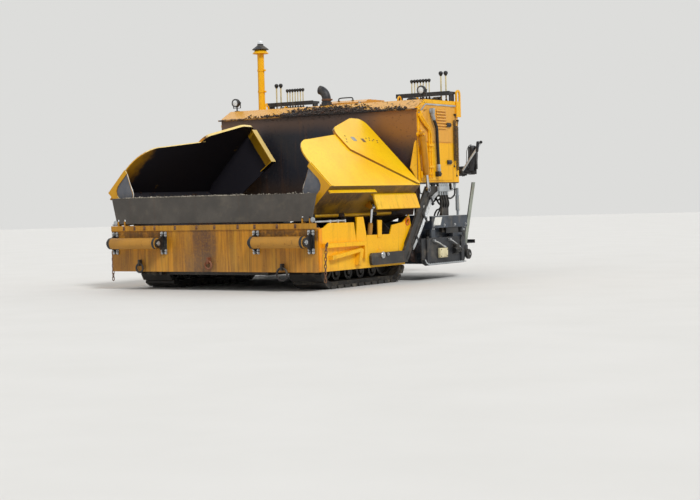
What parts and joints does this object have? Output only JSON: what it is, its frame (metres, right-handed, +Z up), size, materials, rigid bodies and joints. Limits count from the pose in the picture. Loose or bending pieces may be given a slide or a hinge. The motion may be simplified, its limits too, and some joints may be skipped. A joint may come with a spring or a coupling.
{
  "type": "tracked asphalt paver",
  "caption": "Tracked road paver: folding hopper wings over slat conveyors, engine body with consoles, augers and a towed widening screed.",
  "frame": {"origin": "middle of the machine's outline on the ground", "axes": "+Z up, -Y towards the hopper and push rollers, +X to the machine's left"},
  "size_m": [2.7342, 3.6378, 2.62],
  "materials": {
    "yellow_paint": "worn gloss yellow paint, dusty",
    "worn_paint": "ochre paint worn through and stained with tar",
    "tarred_steel": "steel under a skin of dried asphalt",
    "frame_steel": "dark grimy steel",
    "dark_steel": "blue-black burnt steel",
    "blue_grey_paint": "dark blue-grey paint, oily",
    "grey_paint": "light grey-green paint, scuffed",
    "rod_chrome": "polished rod",
    "track_steel": "steel chain and shoes with dusty rubber pads",
    "black_plastic": "sun-faded black",
    "cord_rubber": "black coiled lead"
  },
  "bodies": {
    "chassis": {"main_frame": "frame_steel", "side_panel_l": "worn_paint", "side_panel_r": "worn_paint", "front_bumper": "worn_paint", "tow_rings": "dark_steel", "track_l": "track_steel", "track_r": "track_steel", "track_frame_l": "frame_steel", "track_frame_r": "frame_steel", "hopper_floor": "tarred_steel", "conveyors": "tarred_steel", "bulkhead": "worn_paint", "hood": "yellow_paint", "engine_block": "dark_steel", "exhaust": "dark_steel", "vent_stack": "yellow_paint", "work_lamps": "black_plastic", "console_l": "black_plastic", "console_r": "black_plastic", "lift_plates": "yellow_paint", "auger_drive": "frame_steel", "curly_cords": "cord_rubber"},
    "push_roller_left": {"push_roller_l": "worn_paint"},
    "push_roller_right": {"push_roller_r": "worn_paint"},
    "apron": {"apron": "tarred_steel"},
    "wing_left": {"wing_l": "yellow_paint"},
    "wing_right": {"wing_r": "yellow_paint"},
    "wing_barrel_left": {"wing_barrel_l": "yellow_paint"},
    "wing_barrel_right": {"wing_barrel_r": "yellow_paint"},
    "wing_rod_left": {"wing_rod_l": "rod_chrome"},
    "wing_rod_right": {"wing_rod_r": "rod_chrome"},
    "hatch": {"hatch": "yellow_paint"},
    "auger_left": {"auger_l": "dark_steel"},
    "auger_right": {"auger_r": "dark_steel"},
    "screed": {"tow_arm_l": "blue_grey_paint", "tow_arm_r": "blue_grey_paint", "screed_main": "blue_grey_paint", "depth_cranks": "grey_paint", "walkway": "grey_paint"},
    "extension_left": {"extension_l": "blue_grey_paint"},
    "extension_right": {"extension_r": "blue_grey_paint"},
    "end_gate_left": {"end_gate_l": "frame_steel"},
    "end_gate_right": {"end_gate_r": "frame_steel"},
    "lift_barrel_left": {"lift_barrel_l": "yellow_paint"},
    "lift_barrel_right": {"lift_barrel_r": "yellow_paint"},
    "lift_rod_left": {"lift_rod_l": "rod_chrome"},
    "lift_rod_right": {"lift_rod_r": "rod_chrome"},
    "seat_left": {"seat_l": "black_plastic"},
    "seat_right": {"seat_r": "black_plastic"}
  },
  "joints": [
    {"name": "push_roller_left", "type": "hinge", "parent": "chassis", "child": "push_roller_left", "pos_m": [0.88, -1.76387, 0.465], "axis": [1, 0, 0], "continuous": true},
    {"name": "wing_left", "type": "hinge", "parent": "chassis", "child": "wing_left", "pos_m": [1.08, -0.78387, 0.7], "axis": [0, 1, 0], "range_deg": [0, 45]},
    {"name": "wing_barrel_left", "type": "hinge", "parent": "chassis", "child": "wing_barrel_left", "pos_m": [1.155, -0.66387, 0.222], "axis": [0, -1, 0], "range_deg": [-4.11, 0]},
    {"name": "wing_rod_left", "type": "slide", "parent": "wing_barrel_left", "child": "wing_rod_left", "axis": [0.1202, 0, 0.9928], "range_m": [-0.11896, 0]},
    {"name": "auger_left", "type": "hinge", "parent": "chassis", "child": "auger_left", "pos_m": [0.6, 0.28613, 0.32], "axis": [1, 0, 0], "continuous": true},
    {"name": "extension_left", "type": "slide", "parent": "screed", "child": "extension_left", "axis": [1, 0, 0], "range_m": [0, 1]},
    {"name": "end_gate_left", "type": "slide", "parent": "extension_left", "child": "end_gate_left", "axis": [0, 0, 1], "range_m": [0, 0.08]},
    {"name": "lift_barrel_left", "type": "hinge", "parent": "chassis", "child": "lift_barrel_left", "pos_m": [1.302, 0.19713, 1.491], "axis": [1, 0, 0], "range_deg": [0, 3.4]},
    {"name": "lift_rod_left", "type": "slide", "parent": "lift_barrel_left", "child": "lift_rod_left", "axis": [0, 0.1672, -0.9859], "range_m": [0, 0.08938]},
    {"name": "seat_left", "type": "hinge", "parent": "chassis", "child": "seat_left", "pos_m": [1.12, 1.08113, 1.05], "axis": [0, 0, -1], "range_deg": [0, 60]},
    {"name": "push_roller_right", "type": "hinge", "parent": "chassis", "child": "push_roller_right", "pos_m": [-0.88, -1.76387, 0.465], "axis": [1, 0, 0], "continuous": true},
    {"name": "wing_right", "type": "hinge", "parent": "chassis", "child": "wing_right", "pos_m": [-1.08, -0.78387, 0.7], "axis": [0, -1, 0], "range_deg": [0, 45]},
    {"name": "wing_barrel_right", "type": "hinge", "parent": "chassis", "child": "wing_barrel_right", "pos_m": [-1.155, -0.66387, 0.222], "axis": [0, 1, 0], "range_deg": [-4.11, 0]},
    {"name": "wing_rod_right", "type": "slide", "parent": "wing_barrel_right", "child": "wing_rod_right", "axis": [-0.1202, 0, 0.9928], "range_m": [-0.11896, 0]},
    {"name": "auger_right", "type": "hinge", "parent": "chassis", "child": "auger_right", "pos_m": [-0.6, 0.28613, 0.32], "axis": [1, 0, 0], "continuous": true},
    {"name": "extension_right", "type": "slide", "parent": "screed", "child": "extension_right", "axis": [-1, 0, 0], "range_m": [0, 1]},
    {"name": "end_gate_right", "type": "slide", "parent": "extension_right", "child": "end_gate_right", "axis": [0, 0, 1], "range_m": [0, 0.08]},
    {"name": "lift_barrel_right", "type": "hinge", "parent": "chassis", "child": "lift_barrel_right", "pos_m": [-1.302, 0.19713, 1.491], "axis": [1, 0, 0], "range_deg": [0, 3.4]},
    {"name": "lift_rod_right", "type": "slide", "parent": "lift_barrel_right", "child": "lift_rod_right", "axis": [0, 0.1672, -0.9859], "range_m": [0, 0.08938]},
    {"name": "seat_right", "type": "hinge", "parent": "chassis", "child": "seat_right", "pos_m": [-1.12, 1.08113, 1.05], "axis": [0, 0, 1], "range_deg": [0, 60]},
    {"name": "apron_fold", "type": "hinge", "parent": "chassis", "child": "apron", "pos_m": [0, -1.63187, 0.662], "axis": [1, 0, 0], "range_deg": [0, 70]},
    {"name": "screed_lift", "type": "hinge", "parent": "chassis", "child": "screed", "pos_m": [0, -0.58687, 0.297], "axis": [1, 0, 0], "range_deg": [-5, 0]},
    {"name": "hatch_lid", "type": "hinge", "parent": "chassis", "child": "hatch", "pos_m": [0.121, 0.94013, 1.869], "axis": [-1, 0, 0], "range_deg": [0, 80]}
  ],
  "couplings": [
    {"joint": "wing_barrel_left", "follows": "wing_left", "ratio": -0.087},
    {"joint": "wing_rod_left", "follows": "wing_left", "m_per_rad": -0.1485},
    {"joint": "lift_barrel_left", "follows": "screed_lift", "ratio": -0.64865},
    {"joint": "lift_rod_left", "follows": "screed_lift", "m_per_rad": -1.0041},
    {"joint": "wing_barrel_right", "follows": "wing_right", "ratio": -0.087},
    {"joint": "wing_rod_right", "follows": "wing_right", "m_per_rad": -0.1485},
    {"joint": "lift_barrel_right", "follows": "screed_lift", "ratio": -0.64865},
    {"joint": "lift_rod_right", "follows": "screed_lift", "m_per_rad": -1.0041}
  ]
}
